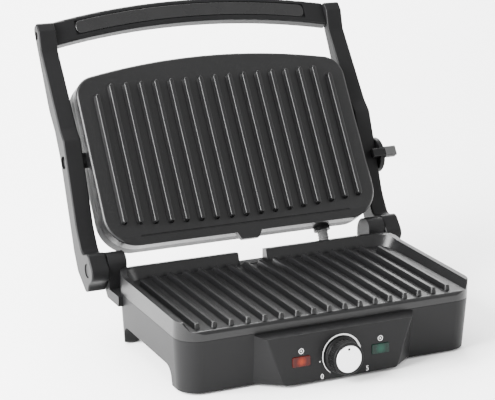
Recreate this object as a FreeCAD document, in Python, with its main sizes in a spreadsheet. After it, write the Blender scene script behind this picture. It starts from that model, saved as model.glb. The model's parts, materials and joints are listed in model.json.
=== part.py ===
import FreeCAD, Part
import math
import os
from FreeCAD import Placement, Rotation, Vector

# A panini press, open: ribbed lower grill in a casing on four feet, and a ribbed upper grill that floats
# between two swinging arms with a handle. Millimetres, X to the right, Y to the rear, Z up.
# While it is built, x = 0 is the middle rib, y = 0 the ribs' front ends and z = 0 their crests; at the end
# every piece is shifted so that the origin lies under the middle of the whole press, on the table.

os.makedirs("parts", exist_ok=True)
doc = FreeCAD.newDocument("panini_press")

SIZES = [
    ("rib_pitch", 15.0), ("rib_count", 17), ("rib_length", 142.0), ("rib_height", 5.0),
    ("rib_width", 6.0), ("end_rib_short", 9.0), ("rib_bow", 6.0),
    ("side_margin", 17.0), ("upper_margin", 18.5), ("front_margin", 1.0), ("rear_margin", 15.0),
    ("right_extra", 7.5), ("corner", 20.0), ("plate_floor", 4.0), ("skirt_wall", 3.0), ("rim_line", 13.5),
    ("rear_rim", 6.0), ("spout_gap", 28.0), ("spout_width", 25.0),
    ("base_height", 62.0), ("foot_height", 2.0), ("foot_radius", 6.0), ("casing_wall", 2.8),
    ("draft", 3.5), ("arch_height", 18.5), ("arch_front", 30.0), ("leg_depth", 20.0), ("leg_width", 19.0),
    ("tub_floor", 2.8), ("seam", 0.3),
    ("panel_half", 80.0), ("panel_face_half", 69.5), ("panel_foot_half", 54.0), ("panel_shift", 4.0),
    ("panel_proud", 12.5), ("panel_tilt", 4.0), ("panel_middle", 40.0), ("lamp_offset", 37.9),
    ("lens_width", 17.0), ("lens_height", 9.0), ("lens_fit", 0.1),
    ("knob_radius", 15.0), ("knob_depth", 14.0), ("cap_radius", 11.8), ("shaft_radius", 3.0),
    ("hinge_back", 25.0), ("hinge_up", 2.0), ("lug_radius", 14.5), ("lug_width", 17.0),
    ("pin_radius", 4.0), ("run_fit", 0.05), ("arm_gap", 3.0), ("arm_width", 17.0),
    ("swing", 111.8), ("lift", 11.5), ("closed_gap", 1.5), ("pivot_up", 76.7), ("pivot_back", 22.5),
    ("pivot_radius", 4.0), ("collar_radius", 7.0), ("handle_start", 114.2), ("handle_height", 23.5),
    ("handle_arch", 14.0), ("handle_depth", 13.0), ("inlay_height", 13.0), ("inlay_end", 22.0),
    ("upper_skirt", 13.5), ("upper_depth", 47.0), ("hinge_edge", 14.0), ("front_edge", 159.0),
    ("heater_radius", 3.25), ("shield_drop", 15.0), ("shield_sheet", 0.8),
    ("screw_radius", 1.5), ("screw_head", 3.0), ("head_depth", 1.8), ("post_radius", 4.5),
    ("latch_radius", 17.3), ("latch_disc", 5.0), ("latch_along", 79.3), ("latch_across", 6.3),
    ("conduit_radius", 5.5), ("conduit_x", 84.0), ("gland_radius", 8.0), ("inlet_radius", 7.0),
]

sheet = doc.addObject("Spreadsheet::Sheet", "sizes")
for row, (alias, value) in enumerate(SIZES, 1):
    sheet.set(f"A{row}", alias)
    sheet.set(f"B{row}", str(value))
    sheet.setAlias(f"B{row}", alias)
doc.recompute()


class Sizes:
    """Reads a size from the sheet by its alias."""

    def __getattr__(self, alias):
        return float(sheet.get(alias))


size = Sizes()
pieces = {}

# Sizes that follow from the sheet
rib_span = size.rib_pitch * (size.rib_count - 1) / 2
lower_half = rib_span + size.side_margin
upper_half = rib_span + size.upper_margin
arm_inner = upper_half + size.arm_gap
arm_outer = arm_inner + size.arm_width
base_front = -size.front_margin
base_rear = size.rib_length + size.rear_margin
base_bottom = -size.base_height + size.foot_height
floor_level = -size.rib_height
panel_y = base_front - size.panel_proud
latch_out = size.latch_disc + 0.4
grip_out = 12.0

# The hinge axis, and where the floating grill's pivot lies closed and open
hinge = Vector(0, size.rib_length + size.hinge_back, size.hinge_up)
closed_pivot = Vector(0, size.rib_length - size.pivot_up, size.closed_gap + size.pivot_back)
reach_vector = closed_pivot - hinge
open_turn = Rotation(Vector(1, 0, 0), -size.swing)
open_pivot = hinge + open_turn.multVec(reach_vector)
reach = reach_vector.Length
arm_lean = math.degrees(math.atan2(open_pivot.z - hinge.z, open_pivot.y - hinge.y))
upper_tilt = 180 - size.swing - size.lift
upper_turn = Rotation(Vector(1, 0, 0), upper_tilt)
upper_origin = open_pivot - upper_turn.multVec(Vector(0, size.pivot_up, -size.pivot_back))

ARM_FRAME = Placement(hinge, Rotation(Vector(1, 0, 0), arm_lean))
UPPER_FRAME = Placement(upper_origin, upper_turn)
PANEL_FRAME = Placement(Vector(size.panel_shift, panel_y, -size.panel_middle),
                        Rotation(Vector(1, 0, 0), -size.panel_tilt))
# The knob's own frame has its Z axis out of the panel
KNOB_FRAME = PANEL_FRAME * Placement(Vector(0, 0, 0), Rotation(Vector(1, 0, 0), 90))
BASE_FRAME = Placement()


# ---------------------------------------------------------------- outlines and features
def outline(corners):
    """A closed outline: each corner is (x, y) or (x, y, radius), and a radius makes a tangent arc."""
    points = [Vector(c[0], c[1], 0) for c in corners]
    radii = [c[2] if len(c) > 2 else 0 for c in corners]
    starts, ends, arcs = [], [], []
    for i, point in enumerate(points):
        back = (points[i - 1] - point).normalize()
        onward = (points[(i + 1) % len(points)] - point).normalize()
        half = back.getAngle(onward) / 2
        if radii[i] and math.pi / 2 - half > 0.01:
            reach_back = radii[i] / math.tan(half)
            centre = point + (back + onward).normalize() * (radii[i] / math.sin(half))
            middle = centre + (point - centre).normalize() * radii[i]
            starts.append(point + back * reach_back)
            ends.append(point + onward * reach_back)
            arcs.append(Part.Arc(starts[-1], middle, ends[-1]))
        else:
            starts.append(point)
            ends.append(point)
            arcs.append(None)
    shapes = []
    for i, arc in enumerate(arcs):
        if arc:
            shapes.append(arc)
        following = starts[(i + 1) % len(points)]
        if (following - ends[i]).Length > 1e-6:
            shapes.append(Part.LineSegment(ends[i], following))
    return shapes


def rectangle(x0, x1, y0, y1, radius=0):
    return outline([(x0, y0, radius), (x1, y0, radius), (x1, y1, radius), (x0, y1, radius)])


def circle(x, y, radius):
    return [Part.Circle(Vector(x, y, 0), Vector(0, 0, 1), radius)]


def bind(item, prop, value):
    """Sets a property to a number, or ties it to the sheet where the value is an expression."""
    if isinstance(value, str):
        item.setExpression(prop, value)
    else:
        setattr(item, prop, value)


class Piece:
    """One PartDesign body, built on sketches that lie on its own origin planes."""

    def __init__(self, name, frame=BASE_FRAME):
        self.body = doc.addObject("PartDesign::Body", name)
        self.body.Label = name
        self.frame = frame
        pieces[name] = self

    def sketch(self, plane, shapes, level=0, tilt=0):
        """Plane XY looks down Z, XZ looks along +Y (normal -Y), YZ has its normal along +X."""
        item = self.body.newObject("Sketcher::SketchObject", f"{self.body.Name}_sketch")
        planes = self.body.Origin.OriginFeatures
        item.AttachmentSupport = ([p for p in planes if p.Role == f"{plane}_Plane"][0], "")
        item.MapMode = "FlatFace"
        item.AttachmentOffset = Placement(Vector(0, 0, level), Rotation(Vector(1, 0, 0), tilt))
        for shape in shapes:
            item.addGeometry(shape, False)
        doc.recompute()
        return item

    def add(self, kind, sketch, length, reverse=False, taper=0, both=False):
        item = self.body.newObject(f"PartDesign::{kind}", f"{self.body.Name}_{kind}")
        item.Profile = sketch
        bind(item, "Length", length)
        item.Reversed = reverse
        item.Midplane = both
        if taper:
            bind(item, "TaperAngle", taper)
        return self.check(item, kind)

    def pad(self, sketch, length, **how):
        return self.add("Pad", sketch, length, **how)

    def pocket(self, sketch, length, **how):
        return self.add("Pocket", sketch, length, **how)

    def loft(self, kind, sections):
        item = self.body.newObject(f"PartDesign::{kind}", f"{self.body.Name}_{kind}")
        item.Profile = sections[0]
        item.Sections = sections[1:]
        item.Ruled = True
        return self.check(item, kind)

    def turn(self, kind, sketch):
        """Revolution or Groove about the sketch's own vertical axis."""
        item = self.body.newObject(f"PartDesign::{kind}", f"{self.body.Name}_{kind}")
        item.Profile = sketch
        item.ReferenceAxis = (sketch, ["V_Axis"])
        item.Angle = 360
        return self.check(item, kind)

    def check(self, item, kind):
        """A cut must take material away, and an addition must bring some."""
        before = getattr(self, "volume", 0.0)
        doc.recompute()
        after = item.Shape.Volume
        grows = kind in ("Pad", "Revolution", "AdditiveLoft")
        if (after <= before + 1e-6) if grows else (after >= before - 1e-6):
            raise RuntimeError(f"{item.Name}: volume went from {before:.1f} to {after:.1f}")
        self.volume = after
        return item

    def round(self, radius, rule, kind="Fillet"):
        """Rounds or chamfers every edge that the rule picks."""
        base = self.body.Tip
        names = [f"Edge{i}" for i, e in enumerate(base.Shape.Edges, 1) if rule(e)]
        item = self.body.newObject(f"PartDesign::{kind}", f"{self.body.Name}_{kind}")
        item.Base = (base, names)
        bind(item, "Radius" if kind == "Fillet" else "Size", radius)
        doc.recompute()
        if not names or "Invalid" in item.State:
            raise RuntimeError(f"{item.Name}: {len(names)} edges, {item.State}")
        self.volume = item.Shape.Volume
        return item


def at_level(z, low=-1e6, high=1e6):
    """Picks edges that lie flat at one local height, with their centre between two values of y."""
    def rule(edge):
        box = edge.BoundBox
        return abs(box.ZMin - z) < 0.01 and abs(box.ZMax - z) < 0.01 and low < edge.CenterOfMass.y < high
    return rule


def keep(name, shape_object, frame=BASE_FRAME):
    shape_object.Label = name
    pieces[name] = type("Made", (), {"body": shape_object, "frame": frame})


def cylinders(name, rods, frame=BASE_FRAME):
    """Separate or stepped round solids: each rod is a list of (start, direction, radius, length)."""
    made = []
    for number, steps in enumerate(rods):
        rounds = []
        for step, (start, direction, radius, length) in enumerate(steps):
            rod = doc.addObject("Part::Cylinder", f"{name}_{number}_{step}")
            bind(rod, "Radius", radius)
            bind(rod, "Height", length)
            rod.Placement = Placement(Vector(*start), Rotation(Vector(0, 0, 1), Vector(*direction)))
            rounds.append(rod)
        if len(rounds) > 1:
            joined = doc.addObject("Part::MultiFuse", f"{name}_{number}")
            joined.Shapes = rounds
            rounds = [joined]
        made += rounds
    group = doc.addObject("Part::Compound", name)
    group.Links = made
    keep(name, group, frame)


def screws(name, places, direction, length, frame=BASE_FRAME):
    """Screws whose shank starts at each place and runs along the direction, with the head behind it."""
    way = Vector(*direction)
    rods = []
    for place in places:
        start = Vector(*place)
        head = start - way * size.head_depth
        rods.append([(start, direction, "sizes.screw_radius", length),
                     (head, direction, "sizes.screw_head", "sizes.head_depth")])
    cylinders(name, rods, frame)


def tube(name, points, radius, bend, frame=BASE_FRAME, bore=0.0):
    """A round bar along straight runs that are joined by tangent arcs; bend is a radius or a rule."""
    route = [Vector(*p) for p in points]
    edges = []
    start = route[0]
    for i in range(1, len(route) - 1):
        back = route[i - 1] - route[i]
        onward = route[i + 1] - route[i]
        turn = math.pi - back.getAngle(onward)
        run = min(back.Length, onward.Length)
        turn_radius = bend or 0.45 * run / math.tan(turn / 2)
        cut = turn_radius * math.tan(turn / 2)
        back.normalize()
        onward.normalize()
        enter = route[i] + back * cut
        leave = route[i] + onward * cut
        side = (back + onward).normalize()
        centre = route[i] + side * math.hypot(turn_radius, cut)
        edges.append(Part.LineSegment(start, enter).toShape())
        edges.append(Part.Arc(enter, centre - side * turn_radius, leave).toShape())
        start = leave
        if not bend:
            print(f"{name}: bend radius {turn_radius:.1f}")
    edges.append(Part.LineSegment(start, route[-1]).toShape())
    path = Part.Wire(edges)
    way = (route[1] - route[0]).normalize()

    def swept(r):
        ring = Part.Wire([Part.Circle(route[0], way, r).toShape()])
        return path.makePipeShell([ring], True, False)

    solid = swept(radius)
    if bore:
        solid = solid.cut(swept(bore))
    expected = math.pi * (radius ** 2 - bore ** 2) * path.Length
    if abs(solid.Volume - expected) > 0.02 * expected:
        raise RuntimeError(f"{name}: swept volume {solid.Volume:.0f}, expected {expected:.0f}")
    item = doc.addObject("Part::Feature", name)
    item.Shape = solid
    keep(name, item, frame)
    return path.Length


# ---------------------------------------------------------------- the two grill plates
def plan(half, front, rear, radius, inset=0.0):
    """Rounded plan of the base's casing or plate; the right side stands a little further out."""
    r = max(radius - inset, 2)
    return rectangle(-half + inset, half + size.right_extra - inset, front + inset, rear - inset, r)


def rib_outlines():
    """Slots with round ends, one per rib; the outer ribs start further back and end sooner."""
    shapes = []
    count = int(size.rib_count)
    r = size.rib_width / 2
    for i in range(count):
        x = (i - (count - 1) / 2) * size.rib_pitch
        bow = size.rib_bow * (x / rib_span) ** 2
        last = size.rib_length - (size.end_rib_short if i in (0, count - 1) else 0)
        top = last - r
        bottom = bow + r
        shapes += [
            Part.LineSegment(Vector(x - r, top, 0), Vector(x - r, bottom, 0)),
            Part.Arc(Vector(x - r, bottom, 0), Vector(x, bottom - r, 0), Vector(x + r, bottom, 0)),
            Part.LineSegment(Vector(x + r, bottom, 0), Vector(x + r, top, 0)),
            Part.Arc(Vector(x + r, top, 0), Vector(x, top + r, 0), Vector(x - r, top, 0)),
        ]
    return shapes


def mirrored_ribs():
    """The same ribs for the upper plate, whose local y runs from the hinge to the front."""
    shapes = rib_outlines()
    for shape in shapes:
        shape.mirror(Vector(0, size.rib_length / 2, 0), Vector(0, 1, 0))
    return shapes


def add_ribs(piece, shapes):
    ribs = piece.pad(piece.sketch("XY", shapes, floor_level), "sizes.rib_height", taper=-13)
    piece.round(1.0, at_level(0))
    return ribs


def lower_grill_plate():
    # Cast aluminium plate: skirt, raised side and rear rims, open front lip, ribs and four screw bosses
    piece = Piece("lower_grill_plate")
    outer = plan(lower_half, base_front, base_rear, size.corner)
    piece.pad(piece.sketch("XY", outer, -size.rim_line), "sizes.rim_line + sizes.rear_rim")
    # The rim's height, cut from the side: rounded lip at the front, low rims at the sides, rear wall
    slope_rear = size.rib_length + 4.0
    above = [(-30, 60), (-30, floor_level - 3), (base_front, floor_level - 3), (base_front, floor_level, 3),
             (base_front + 3.2, floor_level), (base_front + 9, 2.0, 4), (slope_rear - 14, 3.0, 8),
             (slope_rear + 2, size.rear_rim - 0.5, 3), (base_rear - 5, size.rear_rim - 0.5, 3),
             (base_rear + 30, -2), (base_rear + 30, 60)]
    piece.pocket(piece.sketch("YZ", outline(above)), 800, both=True)
    # The hollow that holds the ribs, open at the front, with sloping side and rear walls
    right = lower_half + size.right_extra
    low = rectangle(-lower_half + 9, right - 9, -30, size.rib_length + 3.5, 14)
    high = rectangle(-lower_half + 2.2, right - 2.2, -30, size.rib_length + 8, 18)
    floor = piece.sketch("XY", low, floor_level)
    sky = piece.sketch("XY", high, size.rear_rim + 1)
    piece.loft("SubtractiveLoft", [floor, sky])
    gap = rectangle(-size.spout_gap / 2 - 3.5, size.spout_gap / 2 - 3.5, size.rib_length, base_rear + 9)
    piece.pocket(piece.sketch("XY", gap, floor_level + 0.5), 30, reverse=True)
    hollow = plan(lower_half, base_front, base_rear, size.corner, size.skirt_wall)
    depth = size.rim_line + floor_level - size.plate_floor
    piece.pocket(piece.sketch("XY", hollow, -size.rim_line), depth, reverse=True)
    add_ribs(piece, rib_outlines())
    bosses = []
    for x, y in plate_posts():
        bosses += circle(x, y, size.post_radius)
    boss_top = floor_level - size.plate_floor
    piece.pad(piece.sketch("XY", bosses, boss_top), boss_length, reverse=True)
    bores = []
    for x, y in plate_posts():
        bores += circle(x, y, size.screw_radius)
    piece.pocket(piece.sketch("XY", bores, boss_top - boss_length), boss_length, reverse=True)


boss_length = 10.0


def plate_posts():
    """Where the four plate screws stand, in plan."""
    return [(sx * (rib_span - 8), y) for sx in (-1, 1) for y in (22, size.rib_length - 16)]


def upper_outline(half, inset=0.0):
    """Upper plate and casing in plan: gently bowed front edge, larger corners at the hinge side."""
    front = size.front_edge - inset
    side = half - inset
    shoulder = front - 10.0
    rise = 24.0
    bow = 0.8 * side ** 2 / rise
    edge = -size.hinge_edge + inset
    near = max(30.0 - inset, 3)
    far = max(21.0 - inset, 3)
    return outline([(-side, edge, near), (side, edge, near), (side, shoulder, far),
                    (0, shoulder + rise, bow), (-side, shoulder, far)])


def upper_grill_plate():
    # The same casting turned over: flat border, ribs, sloping band at the hinge side and a drip spout
    piece = Piece("upper_grill_plate", UPPER_FRAME)
    bottom = floor_level - size.upper_skirt
    piece.pad(piece.sketch("XY", upper_outline(upper_half), bottom), "sizes.upper_skirt")
    spout = [(-size.spout_width / 2, 0), (size.spout_width / 2, 0), (size.spout_width / 2, -size.hinge_edge),
             (size.spout_width / 2 - 3.5, -size.hinge_edge - 6.5, 2),
             (-size.spout_width / 2 + 3.5, -size.hinge_edge - 6.5, 2), (-size.spout_width / 2, -size.hinge_edge)]
    piece.pad(piece.sketch("XY", outline(spout), floor_level - 7), 7)
    piece.round(2.6, lambda e: at_level(floor_level)(e) and e.CenterOfMass.y > -size.hinge_edge + 4)
    band = [(-5.8, floor_level), (-5.8, 20), (-60, 20), (-60, floor_level - 10)]
    piece.pocket(piece.sketch("YZ", outline(band)), 800, both=True)
    # Fine groove along the crease between the border and the sloping band
    crease = circle(-5.8, floor_level, 0.7)
    piece.pocket(piece.sketch("YZ", crease), 2 * (upper_half - 32), both=True)
    hollow = upper_outline(upper_half, size.skirt_wall)
    piece.pocket(piece.sketch("XY", hollow, bottom), size.upper_skirt - size.plate_floor - 2.5, reverse=True)
    add_ribs(piece, mirrored_ribs())
    bosses, bores = [], []
    for x, y in upper_posts():
        bosses += circle(x, y, size.post_radius)
        bores += circle(x, y, size.screw_radius)
    boss_top = floor_level - size.plate_floor - 2.5
    piece.pad(piece.sketch("XY", bosses, boss_top), boss_length, reverse=True)
    piece.pocket(piece.sketch("XY", bores, boss_top - boss_length), boss_length, reverse=True)


def upper_posts():
    return [(sx * (rib_span - 8), y) for sx in (-1, 1) for y in (14, size.rib_length - 10)]


# ---------------------------------------------------------------- base
def lower_housing():
    # Moulded casing: drafted tub, side arch with legs, control panel and hinge lugs in one piece
    piece = Piece("lower_housing")
    top = -size.rim_line - size.seam
    height = top - base_bottom
    outer = plan(lower_half, base_front, base_rear, size.corner)
    piece.pad(piece.sketch("XY", outer, top), height, reverse=True, taper=-size.draft)
    # Control panel: stands proud of the front wall and narrows towards the bottom
    left, right = (size.panel_shift - size.panel_half, size.panel_shift + size.panel_half)
    root = rectangle(left, right, base_bottom, top - 0.5)
    shift = size.panel_shift
    face = outline([(shift - size.panel_foot_half, base_bottom + 0.5),
                    (shift + size.panel_foot_half, base_bottom + 0.5),
                    (shift + size.panel_face_half, top - 3), (shift - size.panel_face_half, top - 3)])
    back_sketch = piece.sketch("XZ", root, -(base_front + 6))
    lean = math.tan(math.radians(size.panel_tilt))
    front_sketch = piece.sketch("XZ", face, -panel_y - size.panel_middle * lean, -size.panel_tilt)
    piece.loft("AdditiveLoft", [back_sketch, front_sketch])
    piece.round(2.2, lambda e: e.CenterOfMass.y < base_front - 2 and e.Length > 20
                and abs(e.CenterOfMass.x - shift) > 10)
    # Hinge lugs: round about the hinge axis, with a foot that joins the rear wall
    foot_y = base_rear - 22
    corner_x = arm_inner - 0.5 - size.lug_width - lower_half - size.right_extra + size.corner
    lug_front = base_rear - size.corner + math.sqrt(size.corner ** 2 - max(corner_x, 0) ** 2) + 0.4
    lug = [(foot_y, -24, 0), (hinge.y - 4, -24, 4), (hinge.y + size.lug_radius, hinge.z - 6, 6),
           (hinge.y + size.lug_radius, hinge.z + size.lug_radius, size.lug_radius - 0.5),
           (lug_front, hinge.z + size.lug_radius, 9), (lug_front, top - 1, 0), (foot_y, top - 1, 0)]
    for side in (-1, 1):
        level = -arm_inner + 0.5 if side < 0 else arm_inner - 0.5 - size.lug_width
        piece.pad(piece.sketch("YZ", outline(lug), level), "sizes.lug_width")
    # Side arch, and the space between the rear legs
    arch_top = base_bottom - size.foot_height + size.arch_height
    rear_leg = base_rear - size.leg_depth
    arch = [(size.arch_front - 2.5, base_bottom - 5), (size.arch_front, arch_top, 10), (rear_leg, arch_top, 10),
            (rear_leg + 2.5, base_bottom - 5)]
    piece.pocket(piece.sketch("YZ", outline(arch)), 800, both=True)
    leg_in = lower_half - size.leg_width
    right_in = leg_in + size.right_extra
    between = outline([(-leg_in, base_bottom - 5), (right_in, base_bottom - 5), (right_in - 2, arch_top, 8),
                       (-leg_in + 2, arch_top, 8)])
    piece.pocket(piece.sketch("XZ", between, -rear_leg + 5), 60)
    # Tub hollow from above, front compartment from below
    tub = plan(lower_half, base_front, base_rear, size.corner, size.casing_wall + 1.6)
    tub_depth = top - arch_top - size.tub_floor
    piece.pocket(piece.sketch("XY", tub, top), tub_depth)
    bay_front = base_front + size.casing_wall + 4.6
    bay = rectangle(-lower_half + 8, lower_half + size.right_extra - 8, bay_front, size.arch_front - 5.5, 6)
    piece.pocket(piece.sketch("XY", bay, base_bottom), "sizes.arch_height + sizes.tub_floor + 2", reverse=True)
    # Hollow behind the control panel, open to the bay
    niche_half = size.panel_foot_half - 6
    niche = rectangle(shift - niche_half, shift + niche_half, base_bottom + 6, top - 8, 3)
    piece.pocket(piece.sketch("XZ", niche, -bay_front - 1), bay_front + 1 - panel_y - 6, reverse=True)
    panel_holes(piece)
    posts(piece, arch_top + size.tub_floor, arch_top)
    rear_holes(piece, top)
    for side in (-1, 1):
        bore = piece.sketch("YZ", circle(hinge.y, hinge.z, size.pin_radius), side * (arm_inner - 0.5))
        piece.pocket(bore, size.lug_width - 2, reverse=side < 0)


def panel_holes(piece):
    """Holes for the two lamps and the thermostat's shaft, square to the leaning panel."""
    lean = math.tan(math.radians(size.panel_tilt))
    level = -panel_y - size.panel_middle * lean
    up = -size.panel_middle / math.cos(math.radians(size.panel_tilt))
    for side in (-1, 1):
        x = size.panel_shift + side * size.lamp_offset
        half_w = size.lens_width / 2 + size.lens_fit
        half_h = size.lens_height / 2 + size.lens_fit
        window = rectangle(x - half_w, x + half_w, up - half_h, up + half_h, 1.5)
        piece.pocket(piece.sketch("XZ", window, level, -size.panel_tilt), 16)
    hole = circle(size.panel_shift, up, size.shaft_radius + 0.6)
    piece.pocket(piece.sketch("XZ", hole, level, -size.panel_tilt), 16)


def posts(piece, level, under):
    """Posts under the plate's bosses, with the screws' clearance holes and head recesses from below."""
    top = floor_level - size.plate_floor - boss_length - 0.1
    stands, bores, heads = [], [], []
    for x, y in plate_posts():
        stands += circle(x, y, size.post_radius)
        bores += circle(x, y, size.screw_radius + 0.3)
        heads += circle(x, y, size.screw_head + 0.3)
    piece.pad(piece.sketch("XY", stands, level), top - level)
    piece.pocket(piece.sketch("XY", bores, top), top - under + 12)
    piece.pocket(piece.sketch("XY", heads, under - 12), 12 + size.tub_floor, reverse=True)


def rear_holes(piece, top):
    """Round holes through the rear wall for the conduit's gland and the lead's inlet."""
    hole = circle(size.conduit_x, conduit_z, size.conduit_radius + 1.0)
    hole += circle(inlet_x, conduit_z, size.inlet_radius)
    piece.pocket(piece.sketch("XZ", hole, -base_rear + 8), 30)


conduit_z = -27.0
inlet_x = -70.0


def bottom_cover():
    # Flat cover that closes the front compartment from below
    piece = Piece("bottom_cover")
    fit = 0.2
    bay_front = base_front + size.casing_wall + 4.6
    plate = rectangle(-lower_half + 8 + fit, lower_half + size.right_extra - 8 - fit, bay_front + fit,
                      size.arch_front - 5.5 - fit, 6 - fit)
    piece.pad(piece.sketch("XY", plate, base_bottom), 2.0)
    holes = []
    for x, y in cover_places():
        holes += circle(x, y, size.screw_radius)
    piece.pocket(piece.sketch("XY", holes, base_bottom), 2.0, reverse=True)


def cover_places():
    middle = (base_front + size.casing_wall + 4.6 + size.arch_front - 5.5) / 2
    return [(x * lower_half, middle) for x in (-0.62, 0.62)]


def base_fasteners():
    cover = [(x, y, base_bottom) for x, y in cover_places()]
    screws("cover_screws", cover, (0, 0, 1), 8.0)
    under = -size.base_height + size.arch_height + size.tub_floor
    places = [(x, y, under) for x, y in plate_posts()]
    top = floor_level - size.plate_floor - 2
    screws("lower_plate_screws", places, (0, 0, 1), top - under)
    feet = []
    for x in (-1, 1):
        edge = lower_half + max(x, 0) * size.right_extra
        front = (x * (edge - 15), size.arch_front - 14, -size.base_height)
        rear = (x * (edge - size.leg_width / 2 - 2), base_rear - size.leg_depth / 2 - 1, -size.base_height)
        feet.append([(front, (0, 0, 1), "sizes.foot_radius", "sizes.foot_height")])
        feet.append([(rear, (0, 0, 1), "sizes.foot_radius", "sizes.foot_height")])
    cylinders("rubber_feet", feet)
    pins = []
    for side in (-1, 1):
        start = (side * (arm_inner - 0.5 - size.lug_width + 2), hinge.y, hinge.z)
        length = size.lug_width - 2 + 0.5 + size.arm_width - 4
        pins.append([(start, (side, 0, 0), "sizes.pin_radius", length)])
    cylinders("hinge_pins", pins)


def heater(name, level, y0, y1, frame=BASE_FRAME):
    """Tubular heater bent to a long U under the ribs, with its two cold ends at the rear."""
    x = rib_span - 26
    tail = 14
    route = [(-tail, y1, level), (-x, y1, level), (-x, y0, level), (x, y0, level), (x, y1, level), (tail, y1, level)]
    tube(name, route, size.heater_radius, 16.0, frame)


def shield(name, level, half, y0, y1, holes, hole_radius, frame=BASE_FRAME):
    # Bright sheet that throws the heat back at the plate
    piece = Piece(name, frame)
    piece.pad(piece.sketch("XY", rectangle(-half, half, y0, y1, 12), level), "sizes.shield_sheet")
    cuts = []
    for x, y in holes:
        cuts += circle(x, y, hole_radius)
    piece.pocket(piece.sketch("XY", cuts, level), "sizes.shield_sheet", reverse=True)


def panel_pieces():
    # Lamp windows: a lens that stands 0.8 mm proud, with the neon bulb behind it
    for name, side in (("power_lamp_lens", -1), ("ready_lamp_lens", 1)):
        piece = Piece(name, PANEL_FRAME)
        x = side * size.lamp_offset
        half_w = size.lens_width / 2
        half_h = size.lens_height / 2
        lens = rectangle(x - half_w, x + half_w, -half_h, half_h, 1.4)
        piece.pad(piece.sketch("XZ", lens, 0.8), 5.8, reverse=True)
        piece.round(0.6, lambda e: abs(e.BoundBox.YMin + 0.8) < 0.01 and abs(e.BoundBox.YMax + 0.8) < 0.01)
    bulbs = [[((side * size.lamp_offset - 5, 8.0, 0), (1, 0, 0), 2.4, 10)] for side in (-1, 1)]
    cylinders("neon_lamps", bulbs, PANEL_FRAME)
    # Knob: ribbed black grip with a flared foot, a metal cap let into its face, and the shaft it turns
    knob = Piece("knob", KNOB_FRAME)
    r = size.knob_radius
    profile = [(0, 1.0), (r + 1.2, 1.0), (r + 1.2, 2.6, 0.8), (r - 0.4, 3.8, 0.8),
               (r - 0.9, size.knob_depth, 0.8), (0, size.knob_depth)]
    knob.turn("Revolution", knob.sketch("XZ", outline(profile)))
    knob_cuts(knob)


def knob_cuts(knob):
    """The cap's seat, the shaft's bore and the fluted grip; the knob's axis is its local Z."""
    seat = circle(0, 0, size.cap_radius)
    knob.pocket(knob.sketch("XY", seat, size.knob_depth), 1.2)
    knob.pocket(knob.sketch("XY", circle(0, 0, size.shaft_radius), 1.0), size.knob_depth - 4, reverse=True)
    flutes = []
    count = 28
    far = size.knob_radius - 0.1
    for i in range(count):
        angle = 2 * math.pi * i / count
        flutes += circle(far * math.cos(angle), far * math.sin(angle), 0.9)
    knob.pocket(knob.sketch("XY", flutes, 4.0), size.knob_depth - 3.0, reverse=True)
    cap = Piece("knob_cap", KNOB_FRAME)
    cap.pad(cap.sketch("XY", circle(0, 0, size.cap_radius), size.knob_depth - 1.2), 1.6)
    cap.round(0.5, at_level(size.knob_depth + 0.4))
    dot = circle(0, size.cap_radius - 3.2, 1.2)
    cap.pocket(cap.sketch("XY", dot, size.knob_depth + 0.4), 0.4)
    cylinders("thermostat_shaft", [[((0, 0, -14), (0, 0, 1), "sizes.shaft_radius", "sizes.knob_depth + 9")]],
              KNOB_FRAME)


def controls():
    # Thermostat on its bracket behind the panel, thermal fuse, terminal block and wiring
    switch = Piece("thermostat", KNOB_FRAME)
    body_top = -7.5
    switch.pad(switch.sketch("XY", circle(0, 0, 10.5), body_top - 10), 10)
    switch.pad(switch.sketch("XY", circle(0, 0, 5), body_top - 10), 10.8)
    switch.pocket(switch.sketch("XY", circle(0, 0, size.shaft_radius + size.run_fit), body_top - 10), 10.8,
                  reverse=True)
    floor = -size.base_height + size.arch_height + size.tub_floor
    block = Piece("terminal_block")
    block.pad(block.sketch("XY", rectangle(-95, -60, 100, 114, 1.5), floor), 11)
    screw_wells = []
    for i in range(4):
        screw_wells += circle(-90 + 8.3 * i, 107, 2)
    block.pocket(block.sketch("XY", screw_wells, floor + 11), 6)
    fuse_z = floor_level - size.plate_floor - 3.4
    cylinders("thermal_fuse", [[((-14, 40, fuse_z), (1, 0, 0), 3.0, 28), ((-22, 40, fuse_z), (1, 0, 0), 0.8, 44)]])
    tube("lower_wiring", [(-60, 107, floor + 5), (-38, 107, floor + 5), (-16, 84, floor + 3.5), (-8, 58, floor + 3.5),
                          (-2, 36, floor + 3.5)], 2.2, 0)


def glands():
    # Rubber-like collars in the rear wall: one for the wiring conduit, one for the mains lead
    wall = base_rear
    ring = Piece("lower_conduit_gland")
    outer = circle(size.conduit_x, conduit_z, size.gland_radius)
    ring.pad(ring.sketch("XZ", outer, -wall - 0.2), 4.5, reverse=True)
    ring.pocket(ring.sketch("XZ", circle(size.conduit_x, conduit_z, size.conduit_radius), -wall), 6)
    inlet = Piece("cord_inlet")
    inlet.pad(inlet.sketch("XZ", circle(inlet_x, conduit_z, size.inlet_radius + 2.5), -wall - 0.2), 3.0, reverse=True)
    inlet.pad(inlet.sketch("XZ", circle(inlet_x, conduit_z, size.inlet_radius - 0.05), -wall - 0.2), 6.0)
    inlet.pocket(inlet.sketch("XZ", circle(inlet_x, conduit_z, 3.8), -wall - 8), 20, both=True)


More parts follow.
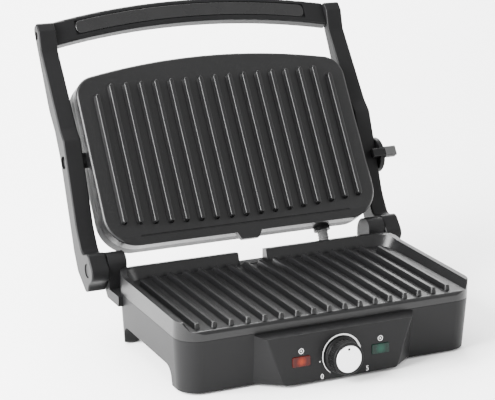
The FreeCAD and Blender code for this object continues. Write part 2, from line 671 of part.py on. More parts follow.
# ---------------------------------------------------------------- arms
def arm_outline():
    """Side view of an arm: u runs from the hinge through the grill's pivot, v is towards the front."""
    top = reach + size.handle_start
    return outline([
        (-12, 13, 9), (13, 10, 6), (17, -5, 8), (40, -5, 60), (reach - 28, 3.2, 60), (reach + 16, 12.4, 7),
        (reach + 29, 9.0, 20), (top - 6, 4.6, 6), (top + 12, 10.5, 4), (top + 22, 8.5, 3.5), (top + 22, -2.5, 6),
        (top + 6, -4.0, 30), (reach + 55, -9.6, 60), (reach + 34, -6.3, 14), (reach + 5, -7.6, 60),
        (26, -25.5, 22), (8, -26.5, 9), (-15, -17, 3), (-17, -9, 3), (-12.5, -4, 8)])


def arm(name, side):
    # Die-cast arm with its bores: hinge pin, grill pivot and handle screw, heads sunk from outside
    piece = Piece(name, ARM_FRAME)
    level = arm_inner if side > 0 else -arm_outer
    piece.pad(piece.sketch("YZ", arm_outline(), level), "sizes.arm_width")
    faces = (level, level + size.arm_width)
    piece.round(1.6, lambda e: any(abs(e.BoundBox.XMin - f) < 0.01 and abs(e.BoundBox.XMax - f) < 0.01
                                   for f in faces))
    outer = arm_outer * side
    inner = arm_inner * side
    deep = size.arm_width + 2
    out = side > 0
    piece.pocket(piece.sketch("YZ", circle(0, 0, size.pin_radius + size.run_fit), inner - side), deep, reverse=out)
    piece.pocket(piece.sketch("YZ", circle(0, 0, 6.5), outer), 3.5, reverse=not out)
    piece.pocket(piece.sketch("YZ", circle(reach, 0, size.pivot_radius + size.run_fit), inner - side), deep,
                 reverse=out)
    piece.pocket(piece.sketch("YZ", circle(reach, 0, 6.0), outer), 4.0, reverse=not out)
    hu, hv = handle_screw_at()
    piece.pocket(piece.sketch("YZ", circle(hu, hv, size.screw_radius + 0.2), inner - side), deep, reverse=out)
    piece.pocket(piece.sketch("YZ", circle(hu, hv, 4.0), outer), 4.0, reverse=not out)
    if side > 0:
        latch = circle(size.latch_along, -size.latch_across, size.screw_radius)
        piece.pocket(piece.sketch("YZ", latch, outer), 10, reverse=not out)


def handle_screw_at():
    return (reach + size.handle_start + size.handle_height / 2, 1.5)


def handle_band(low, high, end, arch):
    """Arched band seen from the front: straight ends, arc edges between them."""
    def arc_edge(height, first, last):
        middle = Vector(0, height + arch, 0)
        return Part.Arc(Vector(first, height, 0), middle, Vector(last, height, 0))

    left, right = Vector(-end, low, 0), Vector(end, low, 0)
    return [arc_edge(low, -end, end), Part.LineSegment(right, Vector(end, high, 0)),
            arc_edge(high, end, -end), Part.LineSegment(Vector(-end, high, 0), left)]


def handle():
    # Two arched shells screwed between the arms, with a gloss strip let into the front one
    start = reach + size.handle_start
    frame = ARM_FRAME * Placement(Vector(0, start, 4.5), Rotation())
    half_depth = size.handle_depth / 2
    end = arm_inner - 0.1
    band = handle_band(0, size.handle_height, end, size.handle_arch)
    screw_v = handle_screw_at()[1] - 4.5
    seam_v = -half_depth - 2.0
    front = Piece("handle_front", frame)
    front.pad(front.sketch("XY", band, seam_v), -seam_v)
    front.round(2.6, lambda e: at_level(0)(e) and e.Length > 60)
    inlay_end = end - size.inlay_end
    recess_low = (size.handle_height - size.inlay_height) / 2
    groove = 0.7
    scale = size.handle_arch * (inlay_end / end) ** 2
    lift = size.handle_arch - scale
    recess = handle_band(recess_low - groove + lift, size.handle_height - recess_low + groove + lift,
                         inlay_end + groove, scale)
    front.pocket(front.sketch("XY", recess, 0), 1.6)
    strip = Piece("handle_inlay", frame)
    strip.pad(strip.sketch("XY", handle_band(recess_low + lift, size.handle_height - recess_low + lift,
                                             inlay_end, scale), -1.6), 1.9)
    corner = size.inlay_height * 0.42
    strip.round(corner, lambda e: abs(e.BoundBox.ZLength - 1.9) < 0.01)
    strip.round(0.7, at_level(0.3))
    for side in (-1, 1):
        hole = circle(size.handle_height / 2, screw_v, size.screw_radius)
        front.pocket(front.sketch("YZ", hole, side * (end + 1)), 16, reverse=side < 0)
    back = Piece("handle_back", frame)
    back.pad(back.sketch("XY", band, seam_v - half_depth + 2.0), half_depth - 2.0)
    back.round(2.4, lambda e: at_level(seam_v - half_depth + 2.0)(e) and e.Length > 60)
    hu, hv = handle_screw_at()
    rods = []
    for side in (-1, 1):
        head = (side * (arm_outer - 4.0), hu, hv)
        rods.append([(head, (-side, 0, 0), "sizes.screw_radius", size.arm_width - 4 + 14),
                     ((side * (arm_outer - 1.8), hu, hv), (-side, 0, 0), 3.6, 2.2)])
    cylinders("handle_screws", rods, ARM_FRAME)
    caps = [[((side * (arm_outer - 3.5), 0, 0), (side, 0, 0), 6.4, 2.7)] for side in (-1, 1)]
    cylinders("hinge_caps", caps, ARM_FRAME)


def latch():
    # Tilt lever on the right arm: a disc on the arm's outer face with a bar and its grip
    centre = Vector(arm_outer, size.latch_along, -size.latch_across)
    frame = ARM_FRAME * Placement(centre, Rotation())
    disc = Piece("latch_disc", frame)
    disc.pad(disc.sketch("YZ", circle(0, 0, size.latch_radius), 0.4), "sizes.latch_disc")
    disc.round(1.0, lambda e: abs(e.BoundBox.XMin - latch_out) < 0.01)
    stem = rectangle(-7, 1, 12.2, 18.2, 1.2)
    disc.pad(disc.sketch("YZ", stem, -8), latch_out + 8)
    disc.pocket(disc.sketch("YZ", circle(0, 0, size.screw_radius + size.run_fit), 0.4), "sizes.latch_disc",
                reverse=True)
    disc.pocket(disc.sketch("YZ", circle(0, 0, 3.4), latch_out), 2.0)
    grip = Piece("latch_grip", frame)
    grip.pad(grip.sketch("YZ", rectangle(-8, 2, 11.2, 18.8, 1.6), latch_out), grip_out)
    grip.round(1.2, lambda e: abs(e.BoundBox.XMin - latch_out - grip_out) < 0.01)
    cylinders("latch_screw", [[((latch_out - 2, 0, 0), (-1, 0, 0), "sizes.screw_radius", latch_out - 2 + 9),
                               ((latch_out - 0.4, 0, 0), (-1, 0, 0), 3.2, 1.6)]], frame)


# ---------------------------------------------------------------- floating upper grill
def upper_housing():
    # Domed casing behind the upper plate, with the pivot bosses in its side walls
    piece = Piece("upper_housing", UPPER_FRAME)
    seat = floor_level - size.upper_skirt - size.seam
    back = -size.upper_depth
    side_depth = 13.0
    piece.pad(piece.sketch("XY", upper_outline(upper_half), seat), side_depth, reverse=True)
    dome_depth = seat - side_depth - back
    piece.pad(piece.sketch("XY", upper_outline(upper_half), seat - side_depth), dome_depth, reverse=True,
              taper=-38)
    piece.round(7.0, at_level(back))
    piece.round(5.0, lambda e: abs(e.BoundBox.ZMin - seat + side_depth) < 0.01
                and abs(e.BoundBox.ZMax - seat + side_depth) < 0.01)
    hollow = upper_outline(upper_half, size.casing_wall + 9.5)
    piece.pocket(piece.sketch("XY", hollow, seat), seat - back - size.casing_wall)
    stands, bores, heads = [], [], []
    top = floor_level - size.plate_floor - 2.5 - boss_length - 0.1
    inner = back + size.casing_wall
    for x, y in upper_posts():
        stands += circle(x, y, size.post_radius)
        bores += circle(x, y, size.screw_radius + 0.3)
        heads += circle(x, y, size.screw_head + 0.3)
    piece.pad(piece.sketch("XY", stands, inner), top - inner)
    piece.pocket(piece.sketch("XY", bores, top), top - back + 3)
    piece.pocket(piece.sketch("XY", heads, back), size.casing_wall, reverse=True)
    pivot = circle(size.pivot_up, -size.pivot_back, size.pivot_radius - 1.0)
    for side in (-1, 1):
        piece.pocket(piece.sketch("YZ", pivot, side * (upper_half + 1)), 12, reverse=side < 0)
    exit_hole = circle(size.conduit_x, upper_gland_z, size.conduit_radius + 1.0)
    piece.pocket(piece.sketch("XZ", exit_hole, size.hinge_edge + 4), 22)


upper_gland_z = -28.0


def upper_fittings():
    back = -size.upper_depth + size.casing_wall
    top = floor_level - size.plate_floor - 2.5 - 2
    places = [(x, y, back) for x, y in upper_posts()]
    screws("upper_plate_screws", places, (0, 0, 1), top - back, UPPER_FRAME)
    heater_z = floor_level - size.plate_floor - 2.5 - size.heater_radius - 0.05
    heater("upper_heating_element", heater_z, 24, 118, UPPER_FRAME)
    shield("upper_heat_shield", -30.0, rib_span - 2, 6, 132, upper_posts(), size.post_radius + 1.0, UPPER_FRAME)
    fuse_z = floor_level - size.plate_floor - 2.5 - 3.1
    cylinders("upper_thermal_fuse", [[((-14, 60, fuse_z), (1, 0, 0), 3.0, 28)]], UPPER_FRAME)
    # Pivots: shoulder screws through the arms into the casing, with a collar in each gap
    rods = []
    for side in (-1, 1):
        place = (size.pivot_up, -size.pivot_back)
        wall = side * (upper_half)
        rods.append([((side * (arm_outer - 2.0), *place), (-side, 0, 0), 5.6, 1.6),
                     ((side * (arm_outer - 3.0), *place), (-side, 0, 0), "sizes.pivot_radius",
                      arm_outer - 3.0 - upper_half),
                     ((wall, *place), (-side, 0, 0), "sizes.pivot_radius - 1", 8)])
    cylinders("pivot_screws", rods, UPPER_FRAME)
    rings = []
    for side in (-1, 1):
        ring = doc.addObject("Part::Cut", f"pivot_collar_{'left' if side < 0 else 'right'}")
        solid = doc.addObject("Part::Cylinder", f"{ring.Name}_outer")
        bore = doc.addObject("Part::Cylinder", f"{ring.Name}_bore")
        for item, radius in ((solid, "sizes.collar_radius"), (bore, "sizes.pivot_radius")):
            bind(item, "Radius", radius)
            bind(item, "Height", "sizes.arm_gap - 0.2")
            item.Placement = Placement(Vector(side * (upper_half), size.pivot_up, -size.pivot_back),
                                       Rotation(Vector(0, 0, 1), Vector(side, 0, 0)))
        ring.Base = solid
        ring.Tool = bore
        rings.append(ring)
    group = doc.addObject("Part::Compound", "pivot_collars")
    group.Links = rings
    keep("pivot_collars", group, UPPER_FRAME)
    gland = Piece("upper_conduit_gland", UPPER_FRAME)
    outside = size.hinge_edge
    gland.pad(gland.sketch("XZ", circle(size.conduit_x, upper_gland_z, size.gland_radius), outside), 3.5)
    gland.pocket(gland.sketch("XZ", circle(size.conduit_x, upper_gland_z, size.conduit_radius), outside + 5), 10)


def conduit():
    # Flexible sleeve that takes the wires from the base to the upper grill, shown with the press open
    upper = UPPER_FRAME.multVec(Vector(size.conduit_x, -size.hinge_edge - 0.2, upper_gland_z))
    away = UPPER_FRAME.multVec(Vector(size.conduit_x, -size.hinge_edge - 14, upper_gland_z))
    start = Vector(size.conduit_x, base_rear + 0.3, conduit_z)
    leave = start + Vector(0, 8.5, 0)
    climb = start + Vector(0, 15.5, 7.0)
    length = tube("wiring_conduit", [start, leave, climb, away, upper], size.conduit_radius, 0, bore=3.6)
    print(f"wiring_conduit: length {length:.1f}")


# ---------------------------------------------------------------- build, check and write
lower_housing()
bottom_cover()
lower_grill_plate()
base_fasteners()
heater("lower_heating_element", floor_level - size.plate_floor - size.heater_radius - 0.05, 26, 116)
shield("lower_heat_shield", -size.rim_line - size.shield_drop, rib_span - 2, 12, 134, plate_posts(),
       size.post_radius + 1.0)
panel_pieces()
controls()
glands()
arm("left_arm", -1)
arm("right_arm", 1)
handle()
latch()
upper_grill_plate()
upper_housing()
upper_fittings()
conduit()
doc.recompute()

# The origin: under the middle of the press's whole box, at the level of the feet
far_right = arm_outer + latch_out + grip_out
handle_end = reach + size.handle_start + size.handle_height + size.handle_arch - 1.5
handle_rear = ARM_FRAME.multVec(Vector(0, handle_end, 4.5 - size.handle_depth))
front_reach = panel_y - size.knob_depth
middle = Vector((far_right - arm_outer) / 2, (front_reach + handle_rear.y) / 2, -size.base_height)

for item in doc.Objects:
    if "Invalid" in item.State or "Error" in item.State:
        raise RuntimeError(f"{item.Name} failed: {item.State}")

for name, piece in pieces.items():
    piece.body.Placement = Placement(-middle, Rotation()) * piece.frame
doc.recompute()

for name, piece in pieces.items():
    shape = piece.body.Shape
    if shape.isNull() or not shape.isValid():
        raise RuntimeError(f"{name}: the shape is empty or not valid")
    shape.exportStep(f"parts/{name}.step")
print(f"{len(pieces)} nodes")
for label, point in (("hinge", hinge), ("open pivot", open_pivot), ("panel", PANEL_FRAME.Base),
                     ("latch", ARM_FRAME.multVec(Vector(arm_outer, size.latch_along, -size.latch_across)))):
    print(label, [round(c, 4) for c in point - middle])
print("arm lean", round(arm_lean, 3), "upper tilt", round(upper_tilt, 3), "middle", middle)
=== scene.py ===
import bpy
import json
import math
from mathutils import Matrix, Vector


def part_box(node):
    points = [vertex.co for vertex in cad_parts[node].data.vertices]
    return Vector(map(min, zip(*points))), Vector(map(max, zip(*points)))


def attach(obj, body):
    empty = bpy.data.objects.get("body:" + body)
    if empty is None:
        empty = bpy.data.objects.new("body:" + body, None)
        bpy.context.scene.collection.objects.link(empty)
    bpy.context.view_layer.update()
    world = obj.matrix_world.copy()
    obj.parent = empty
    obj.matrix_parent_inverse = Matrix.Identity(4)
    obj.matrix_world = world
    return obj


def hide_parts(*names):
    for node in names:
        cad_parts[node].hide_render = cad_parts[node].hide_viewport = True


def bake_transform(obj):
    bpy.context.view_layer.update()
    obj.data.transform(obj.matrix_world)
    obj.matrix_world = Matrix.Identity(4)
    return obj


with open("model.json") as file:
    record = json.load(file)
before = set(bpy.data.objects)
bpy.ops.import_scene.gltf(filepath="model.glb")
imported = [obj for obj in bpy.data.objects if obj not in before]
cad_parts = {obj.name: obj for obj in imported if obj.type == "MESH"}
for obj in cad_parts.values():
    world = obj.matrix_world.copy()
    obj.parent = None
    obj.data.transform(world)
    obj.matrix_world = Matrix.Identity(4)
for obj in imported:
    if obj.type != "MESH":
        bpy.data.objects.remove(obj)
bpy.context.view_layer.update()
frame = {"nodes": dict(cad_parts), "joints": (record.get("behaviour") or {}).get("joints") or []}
nodes = frame["nodes"]


# ---- Casings
# The lower and upper housings are injection-moulded black plastic with a fine satin texture. The upper one
# is screwed to its plate from behind, the lower one carries the hinge lugs and the control panel.
class Value:
    """A number that varies over a surface, so that a pattern can be written as arithmetic."""

    def __init__(self, finish, socket):
        self.finish = finish
        self.socket = socket

    def join(self, operation, first, second):
        return self.finish.node("ShaderNodeMath", {"operation": operation}, {0: first, 1: second})

    def __add__(self, other):
        return self.join("ADD", self, other)

    def __sub__(self, other):
        return self.join("SUBTRACT", self, other)

    def __rsub__(self, other):
        return self.join("SUBTRACT", other, self)

    def __mul__(self, other):
        return self.join("MULTIPLY", self, other)

    __radd__ = __add__
    __rmul__ = __mul__


class Finish:
    """One material: constant values go on its shader's sockets, patterns are linked to them."""

    def __init__(self, name, **constants):
        self.material = bpy.data.materials.new(name)
        self.material.use_nodes = True
        self.tree = self.material.node_tree
        self.shader = self.tree.nodes["Principled BSDF"]
        for socket, value in constants.items():
            self.shader.inputs[socket.replace("_", " ")].default_value = value

    def node(self, kind, settings, inputs, output=0):
        made = self.tree.nodes.new(kind)
        for setting, value in settings.items():
            setattr(made, setting, value)
        for socket, value in inputs.items():
            if isinstance(value, Value):
                self.tree.links.new(value.socket, made.inputs[socket])
            else:
                made.inputs[socket].default_value = value
        return Value(self, made.outputs[output])

    def place(self, stretch):
        """The point of the surface, in metres in the object's own frame, stretched for a grain."""
        point = self.node("ShaderNodeTexCoord", {}, {}, "Object")
        return self.node("ShaderNodeMapping", {}, {"Vector": point, "Scale": stretch})

    def noise(self, scale, detail, stretch=(1, 1, 1)):
        inputs = {"Vector": self.place(stretch), "Scale": scale, "Detail": detail}
        return self.node("ShaderNodeTexNoise", {}, inputs, "Fac")

    def ramp(self, value, low, high):
        """0 below low, 1 above high, straight between them."""
        inputs = {"Value": value, "From Min": low, "From Max": high}
        return self.node("ShaderNodeMapRange", {}, inputs, "Result")

    def blend(self, amount, first, second):
        """The first colour where amount is 0, the second where it is 1."""
        inputs = {0: amount, 6: (*first, 1), 7: (*second, 1)}
        return self.node("ShaderNodeMix", {"data_type": "RGBA"}, inputs, 2)

    def link(self, **patterns):
        for socket, value in patterns.items():
            self.tree.links.new(value.socket, self.shader.inputs[socket.replace("_", " ")])

    def vary(self, pattern, dark, light, rough, swing):
        """The tone goes from dark to light with a pattern, and the roughness swings up with it."""
        self.link(Base_Color=self.blend(pattern, dark, light), Roughness=rough + pattern * swing)

    def bump(self, height, depth):
        inputs = {"Height": height, "Distance": depth, "Strength": 1.0}
        self.link(Normal=self.node("ShaderNodeBump", {}, inputs, "Normal"))


def cover(finish, *names):
    """Gives CAD nodes a finish."""
    for name in names:
        for slot in nodes[name].material_slots:
            slot.material = finish.material


DRIFT_SCALE, GRAIN_SCALE = 14, 2600
DRIFT_SWING, GRAIN_SWING = 0.10, 0.08


def satin_plastic(name, dark, light, rough, depth=0.00004):
    """Moulded plastic: a fine even texture, with the tone and the gloss drifting slowly over it."""
    finish = Finish(name, IOR=1.49, Specular_IOR_Level=0.10)
    drift = finish.noise(DRIFT_SCALE, 3.0)
    grain = finish.noise(GRAIN_SCALE, 2.0)
    smoothest = rough - (DRIFT_SWING + GRAIN_SWING) / 2
    finish.link(Base_Color=finish.blend(drift, dark, light))
    finish.link(Roughness=drift * DRIFT_SWING + grain * GRAIN_SWING + smoothest)
    finish.bump(grain, depth)
    return finish


casing = satin_plastic("casing_satin_black", (0.0048, 0.0048, 0.0050), (0.0078, 0.0078, 0.0080), 0.42)
cover(casing, "lower_housing", "upper_housing", "bottom_cover", "terminal_block")


# ---- Grill plates
# Two cast aluminium plates under a black non-stick coat. The coat is sprayed on, so it has an orange-peel
# surface, with small paler flecks in it that shine a little more.
plate = Finish("non_stick_coat", IOR=1.5, Specular_IOR_Level=0.26)
flecks = plate.ramp(plate.noise(1300, 3.0), 0.58, 0.72)
peel = plate.noise(900, 2.0)
drift = plate.noise(9, 2.0)
coat_tone = flecks * 0.8 + drift * 0.2
plate.link(Base_Color=plate.blend(coat_tone, (0.0006, 0.0006, 0.0007), (0.016, 0.016, 0.0165)))
plate.link(Roughness=0.26 + peel * 0.12 - flecks * 0.08)
plate.bump(peel + flecks * 0.5, 0.00006)
cover(plate, "lower_grill_plate", "upper_grill_plate")


# ---- Heaters, shields and what is inside
# A steel-sheathed heater bent to a U lies under each plate, over a bright rolled sheet. The thermostat and
# the thermal fuses have ceramic bodies, and the wiring runs in silicone sleeves.
sheath = Finish("heater_sheath", Metallic=1.0)
sheath_tone = sheath.noise(120, 4.0)
sheath.vary(sheath_tone, (0.20, 0.19, 0.18), (0.38, 0.35, 0.32), 0.45, 0.2)
cover(sheath, "lower_heating_element", "upper_heating_element")

sheet_metal = Finish("bright_sheet", Metallic=1.0)
rolled = sheet_metal.noise(60, 4.0, (1, 30, 1))
sheet_metal.vary(rolled, (0.70, 0.70, 0.71), (0.84, 0.84, 0.85), 0.22, 0.15)
cover(sheet_metal, "lower_heat_shield", "upper_heat_shield")

ceramic = Finish("pale_ceramic")
ceramic_tone = ceramic.noise(300, 3.0)
ceramic.vary(ceramic_tone, (0.70, 0.67, 0.60), (0.82, 0.80, 0.74), 0.55, 0.15)
cover(ceramic, "thermostat", "thermal_fuse", "upper_thermal_fuse")

sleeve = Finish("silicone_sleeve")
braid = sleeve.noise(700, 2.0, (1, 1, 6))
sleeve.vary(braid, (0.050, 0.050, 0.050), (0.085, 0.085, 0.085), 0.42, 0.2)
sleeve.bump(braid, 0.0001)
cover(sleeve, "lower_wiring", "wiring_conduit")


# ---- Screws, pins and small trim
# The screws and pins are zinc plated steel, and those of the arms and handle are blackened. The hinge
# caps, the pivot collars, the lever's disc and the conduit's glands are moulded black; the feet are rubber.
steel = Finish("plated_steel", Metallic=1.0)
plating = steel.noise(500, 3.0)
steel.vary(plating, (0.30, 0.30, 0.31), (0.50, 0.50, 0.51), 0.28, 0.2)
cover(steel, "cover_screws", "lower_plate_screws", "upper_plate_screws", "hinge_pins", "latch_screw",
      "thermostat_shaft")

dark_steel = Finish("blackened_steel", Metallic=1.0)
blacking = dark_steel.noise(600, 3.0)
dark_steel.vary(blacking, (0.05, 0.05, 0.05), (0.10, 0.10, 0.10), 0.35, 0.2)
cover(dark_steel, "handle_screws", "pivot_screws")

trim = satin_plastic("trim_black", (0.0030, 0.0030, 0.0032), (0.0050, 0.0050, 0.0052), 0.40)
cover(trim, "hinge_caps", "pivot_collars", "latch_disc", "cord_inlet", "lower_conduit_gland",
      "upper_conduit_gland")

rubber = satin_plastic("foot_rubber", (0.035, 0.035, 0.035), (0.060, 0.060, 0.060), 0.75, 0.0001)
cover(rubber, "rubber_feet")


# ---- Arms and handle
# The arms are black mouldings over a steel core; the handle is two arched shells screwed between them,
# with a gloss strip let into the front shell.
arm_finish = satin_plastic("arm_satin_black", (0.0035, 0.0035, 0.0037), (0.0060, 0.0060, 0.0062), 0.40)
cover(arm_finish, "left_arm", "right_arm", "handle_front", "handle_back")

gloss = Finish("handle_gloss_black", IOR=1.5, Specular_IOR_Level=0.3)
ripple = gloss.noise(60, 2.0)
gloss.vary(ripple, (0.0030, 0.0030, 0.0031), (0.0050, 0.0050, 0.0051), 0.22, 0.12)
gloss.bump(ripple, 0.00008)
cover(gloss, "handle_inlay")


# ---- Tilt lever
# The lever that sets the lid's tilt swings on a black disc at the side of the base. Its free end has a grip
# pushed onto it, coloured a lighter grey than the disc and the arms.
grip = satin_plastic("lever_grip_grey", (0.030, 0.030, 0.030), (0.045, 0.045, 0.045), 0.5)
cover(grip, "latch_grip")


# ---- Knob
# The knob is moulded in black and sits on the thermostat's shaft. A spun metal cap is let into its face,
# with a small black index dot near the rim.
knob_finish = satin_plastic("knob_black", (0.0025, 0.0025, 0.0026), (0.0045, 0.0045, 0.0046), 0.34)
cover(knob_finish, "knob")

spun = Finish("spun_cap", Metallic=1.0)
turning = spun.noise(900, 3.0)
spun.vary(turning, (0.72, 0.72, 0.73), (0.86, 0.86, 0.87), 0.36, 0.16)
spun.bump(turning, 0.00003)
cover(spun, "knob_cap")

# The knob's axis gives the panel's own frame: across, upward and outward from the knob's centre
turn_joint = next(joint for joint in frame["joints"] if joint["name"] == "knob_turn")
outward = Vector(turn_joint["axis"]).normalized()
across = Vector((1, 0, 0))
upward = outward.cross(across)
panel = Matrix.Translation(turn_joint["pos_m"]) @ Matrix((across, upward, outward)).transposed().to_4x4()


def finish_piece(piece, name, finish, body):
    """Moves a piece's mesh from the panel's frame to its place, covers it and lets it ride on a body."""
    piece.name = name
    piece.data.transform(panel @ piece.matrix_world)
    piece.matrix_world = Matrix()
    piece.data.materials.clear()
    piece.data.materials.append(finish.material)
    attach(piece, body)


def thicken(thickness):
    """Gives the active flat piece a thickness outwards, and makes it solid for good."""
    piece = bpy.context.object
    modifier = piece.modifiers.new("thickness", "SOLIDIFY")
    modifier.thickness = thickness
    modifier.offset = 1
    bpy.ops.object.modifier_apply(modifier="thickness")
    return piece


# The dot is a thin black disc with a softened edge, sunk in a shallow round recess of the cap
DOT_RADIUS, DOT_UP, DOT_FACE, DOT_DEPTH, DOT_EDGE = 0.00115, 0.0086, 0.0142, 0.0002, 0.00004
bpy.ops.object.select_all(action="DESELECT")
bpy.ops.mesh.primitive_cylinder_add(vertices=32, radius=DOT_RADIUS, depth=DOT_DEPTH,
                                    location=(0, DOT_UP, DOT_FACE - DOT_DEPTH / 2))
bpy.ops.object.mode_set(mode="EDIT")
bpy.ops.mesh.bevel(offset=DOT_EDGE, segments=1)
bpy.ops.object.mode_set(mode="OBJECT")
finish_piece(bpy.context.object, "knob_index_dot", trim, "knob")


# ---- Printed dial
# Pale ink on the control panel: a band that grows wider round the knob, a small dot where it starts, the
# numbers 0 and 5 at its ends, and a plain sign over each lamp. The ink is a tenth of a millimetre thick.
INK = 0.0001
FULL_TURN = (0, 360)
BAND_INNER, BAND_WIDTHS, BAND_ANGLES = 0.0174, (0.0004, 0.0017), (232, 10)
START_DOT_AT, START_DOT_RADIUS = (-0.0205, -0.0030), 0.0005
NUMBER_HEIGHT = 0.0062
LAMP_OFFSET, SIGN_UP = 0.0379, 0.0090
SIGN_INNER, SIGN_LINE, SIGN_MARK_RADIUS = 0.0019, 0.0005, 0.0007
ink = Finish("pale_ink")
ink_tone = ink.noise(900, 2.0)
ink.vary(ink_tone, (0.50, 0.50, 0.50), (0.62, 0.62, 0.62), 0.5, 0.1)


def printed_band(name, centre, inner, widths, angles):
    """Band of ink round a centre, with its widths and its angles in degrees at the two ends."""
    start_width, end_width = widths
    first, last = angles
    bpy.ops.object.select_all(action="DESELECT")
    bpy.ops.mesh.primitive_grid_add(x_subdivisions=64, y_subdivisions=1, size=1)
    band = bpy.context.object
    for vertex in band.data.vertices:
        along = vertex.co.x + 0.5
        angle = math.radians(first + (last - first) * along)
        width = start_width + (end_width - start_width) * along
        radius = inner + width * (vertex.co.y + 0.5)
        vertex.co = (centre[0] + radius * math.cos(angle), centre[1] + radius * math.sin(angle), INK / 2)
    bpy.ops.object.mode_set(mode="EDIT")
    bpy.ops.mesh.select_all(action="SELECT")
    bpy.ops.mesh.remove_doubles(threshold=0.000001)
    bpy.ops.mesh.normals_make_consistent(inside=False)
    bpy.ops.object.mode_set(mode="OBJECT")
    if band.data.polygons[0].normal.z < 0:
        band.data.flip_normals()
    finish_piece(thicken(INK), name, ink, "base")


def printed_number(name, text, x, y):
    """Number of ink, centred on a point of the panel."""
    bpy.ops.object.select_all(action="DESELECT")
    bpy.ops.object.text_add(location=(x, y, INK / 2))
    lettering = bpy.context.object.data
    lettering.body = text
    lettering.size = NUMBER_HEIGHT
    lettering.align_x = "CENTER"
    lettering.align_y = "CENTER"
    bpy.ops.object.convert(target="MESH")
    finish_piece(thicken(INK), name, ink, "base")


printed_band("dial_band", (0, 0), BAND_INNER, BAND_WIDTHS, BAND_ANGLES)
printed_band("dial_start_dot", START_DOT_AT, 0, (START_DOT_RADIUS, START_DOT_RADIUS), FULL_TURN)
printed_number("dial_number_0", "0", -0.0185, -0.0165)
printed_number("dial_number_5", "5", 0.0250, -0.0160)
for side, sign in ((-1, "power"), (1, "ready")):
    sign_at = (side * LAMP_OFFSET, SIGN_UP)
    printed_band(f"{sign}_sign_ring", sign_at, SIGN_INNER, (SIGN_LINE, SIGN_LINE), FULL_TURN)
    printed_band(f"{sign}_sign_mark", sign_at, 0, (SIGN_MARK_RADIUS, SIGN_MARK_RADIUS), FULL_TURN)


# ---- Wiring conduit
# Corrugated sleeve that leaves the base's rear wall and enters the upper casing near the hinge. It is
# made as two lengths that meet halfway.
CONDUIT_RADIUS, RING_PITCH, RING_DEPTH, RING_SIDES = 0.0053, 0.0026, 0.0006, 24
CONDUIT_X, STEPS_PER_CORNER = 0.0753, 40
ROUTE = [Vector((CONDUIT_X, y, z)) for y, z in ((0.0129, 0.0350), (0.0214, 0.0350), (0.0284, 0.0420),
                                                (0.0279, 0.0597), (0.0355, 0.0713))]


def smooth_line(route, steps):
    """Points along the route, with each corner rounded from the middle of one run to the next."""
    line = [route[0]]
    for i in range(1, len(route) - 1):
        enter = route[0] if i == 1 else (route[i - 1] + route[i]) / 2
        leave = route[-1] if i == len(route) - 2 else (route[i] + route[i + 1]) / 2
        for step in range(1, steps + 1):
            t = step / steps
            line.append(enter * (1 - t) ** 2 + route[i] * (2 * t * (1 - t)) + leave * t ** 2)
    return line


def corrugated(name, line, travelled):
    """Closed ribbed tube along a line in a plane square to X; travelled keeps the ribs evenly apart."""
    corners, faces = [], []
    for i, point in enumerate(line):
        onward = (line[min(i + 1, len(line) - 1)] - line[max(i - 1, 0)]).normalized()
        side = onward.cross(across)
        radius = CONDUIT_RADIUS - RING_DEPTH / 2 * (1 + math.cos(2 * math.pi * travelled / RING_PITCH))
        for k in range(RING_SIDES):
            angle = 2 * math.pi * k / RING_SIDES
            corners.append(point + across * radius * math.cos(angle) + side * radius * math.sin(angle))
            if i:
                low, high = (i - 1) * RING_SIDES, i * RING_SIDES
                after = (k + 1) % RING_SIDES
                faces.append((low + k, low + after, high + after, high + k))
        if i < len(line) - 1:
            travelled += (line[i + 1] - point).length
    last = (len(line) - 1) * RING_SIDES
    faces += [tuple(reversed(range(RING_SIDES))), tuple(range(last, last + RING_SIDES))]
    mesh = bpy.data.meshes.new(name)
    mesh.from_pydata(corners, [], faces)
    tube = bpy.data.objects.new(name, mesh)
    bpy.context.scene.collection.objects.link(tube)
    bpy.ops.object.select_all(action="DESELECT")
    bpy.context.view_layer.objects.active = tube
    tube.select_set(True)
    bpy.ops.object.mode_set(mode="EDIT")
    bpy.ops.mesh.select_all(action="SELECT")
    bpy.ops.mesh.normals_make_consistent(inside=False)
    bpy.ops.object.mode_set(mode="OBJECT")
    bpy.ops.object.shade_smooth()
    mesh.materials.append(sleeve.material)
    return tube, travelled


line = smooth_line(ROUTE, STEPS_PER_CORNER)
half = len(line) // 2
lower_length, run = corrugated("conduit_lower_length", line[:half + 1], 0)
upper_length, _ = corrugated("conduit_upper_length", line[half:], run)
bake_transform(lower_length)
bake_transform(upper_length)
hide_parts("wiring_conduit")


# ---- Lamp windows
# Ribbed translucent windows pressed into the panel, a red one that glows amber on the left and a green one
# on the right, each with its neon bulb behind it. Distances are from the middle of the window.
GLOW_FULL, GLOW_END = 0.0004, 0.0060
CORE_FULL, CORE_END = 0.0012, 0.0026
RIB_DEPTH = 0.0002
lamp_centres = {}
for name in ("power_lamp_lens", "ready_lamp_lens"):
    low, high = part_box(name)
    lamp_centres[name] = (Vector(low) + Vector(high)) / 2


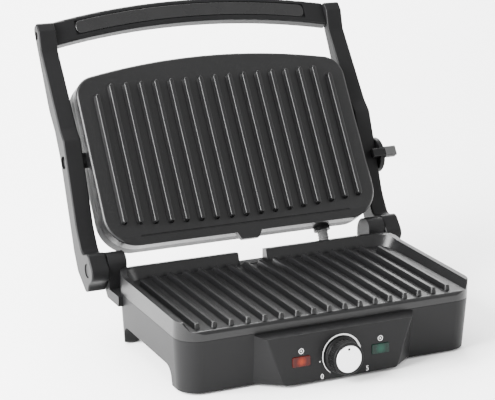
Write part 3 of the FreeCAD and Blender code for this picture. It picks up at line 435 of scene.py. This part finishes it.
def lens_finish(name, node, deep, painted_lit_tone, glow, strength):
    """Coloured clear plastic with moulded ribs; the glow fades out from the middle of the window, and the
    colour is painted lighter there as painted light from the bulb.
    """
    finish = Finish(name, IOR=1.5, Specular_IOR_Level=0.15, Emission_Strength=strength)
    centre = lamp_centres[node]
    point = finish.node("ShaderNodeTexCoord", {}, {}, "Object")
    away = finish.node("ShaderNodeVectorMath", {"operation": "DISTANCE"},
                       {0: point, 1: (centre.x, centre.y, centre.z)}, "Value")
    near = 1 - finish.ramp(away, GLOW_FULL, GLOW_END)
    core = 1 - finish.ramp(away, CORE_FULL, CORE_END)
    speckle = finish.noise(900, 2.0)
    # painted light: the colour goes from deep to a painted lit tone near the middle, where the bulb shines
    # through
    finish.link(Base_Color=finish.blend(near, deep, painted_lit_tone))
    finish.link(Roughness=0.16 + speckle * 0.12)
    hot = finish.blend(near * near * (0.5 + speckle * 0.5) + core * 0.4, (0.0, 0.0, 0.0), glow)
    finish.link(Emission_Color=hot)
    finish.bump(finish.noise(700, 1.0, (1, 1, 0.05)), RIB_DEPTH)
    cover(finish, node)


lens_finish("red_lens", "power_lamp_lens",
            (0.030, 0.001, 0.000), (0.12, 0.004, 0.000), (1.0, 0.14, 0.0), 1.3)
lens_finish("green_lens", "ready_lamp_lens",
            (0.000, 0.008, 0.005), (0.002, 0.045, 0.028), (0.0, 0.08, 0.05), 0.3)
bulb = Finish("neon_glass", IOR=1.45, Alpha=0.5)
frosting = bulb.noise(400, 2.0)
bulb.vary(frosting, (0.9, 0.5, 0.25), (0.95, 0.65, 0.4), 0.1, 0.1)
cover(bulb, "neon_lamps")


# ---- Floor, light and camera
# The press stands on a pale studio floor under an even white sky. A strong soft box is at its left, others
# are above and behind it, and a weak one is at its right.
FLOOR_SIZE, SKY_STRENGTH = 8, 1.8
bpy.ops.object.select_all(action="DESELECT")
bpy.ops.mesh.primitive_plane_add(size=FLOOR_SIZE, location=(0, 0, 0))
floor = bpy.context.object
floor.name = "studio_floor"
paper = Finish("studio_paper")
fibre = paper.noise(40, 3.0)
paper.vary(fibre, (0.94, 0.94, 0.94), (0.97, 0.97, 0.97), 0.8, 0.1)
floor.data.materials.append(paper.material)

world = bpy.data.worlds.new("studio")
bpy.context.scene.world = world
world.use_nodes = True
sky = world.node_tree.nodes["Background"]
sky.inputs["Color"].default_value = (1, 1, 1, 1)
sky.inputs["Strength"].default_value = SKY_STRENGTH


def soft_box(name, place, target, width, height, power):
    """Rectangular lamp at a place, facing a target; its power is in watts."""
    light = bpy.data.lights.new(name, "AREA")
    light.shape = "RECTANGLE"
    light.size = width
    light.size_y = height
    light.energy = power
    lamp = bpy.data.objects.new(name, light)
    bpy.context.scene.collection.objects.link(lamp)
    lamp.location = place
    lamp.rotation_euler = (Vector(target) - Vector(place)).to_track_quat("-Z", "Y").to_euler()


soft_box("left_box", (-1.7, -0.2, 0.9), (0, 0, 0.1), 1.2, 1.4, 280)
soft_box("top_box", (-0.1, 0.9, 1.7), (0, 0.1, 0.1), 1.6, 0.6, 45)
soft_box("back_box", (0.6, 2.2, 1.6), (0.6, 2.2, 0), 2.4, 1.6, 170)
soft_box("right_box", (1.6, -0.5, 0.7), (0, 0, 0.1), 0.8, 1.2, 12)

# The camera looks from the left and a little from above, through a long lens
CAMERA_TURN, CAMERA_DROP, CAMERA_ROLL, CAMERA_LENS = -25.01, 16.04, 0.26, 122.4
camera = bpy.data.objects.new("camera", bpy.data.cameras.new("camera"))
bpy.context.scene.collection.objects.link(camera)
camera.location = (-0.6424, -1.3351, 0.5425)
camera.rotation_mode = "XYZ"
turned = Matrix.Rotation(math.radians(CAMERA_TURN), 4, "Z")
turned = turned @ Matrix.Rotation(math.radians(90 - CAMERA_DROP), 4, "X")
camera.rotation_euler = (turned @ Matrix.Rotation(math.radians(CAMERA_ROLL), 4, "Z")).to_euler()
camera.data.lens = CAMERA_LENS
camera.data.sensor_width = 36
camera.data.clip_end = 50
bpy.context.scene.camera = camera
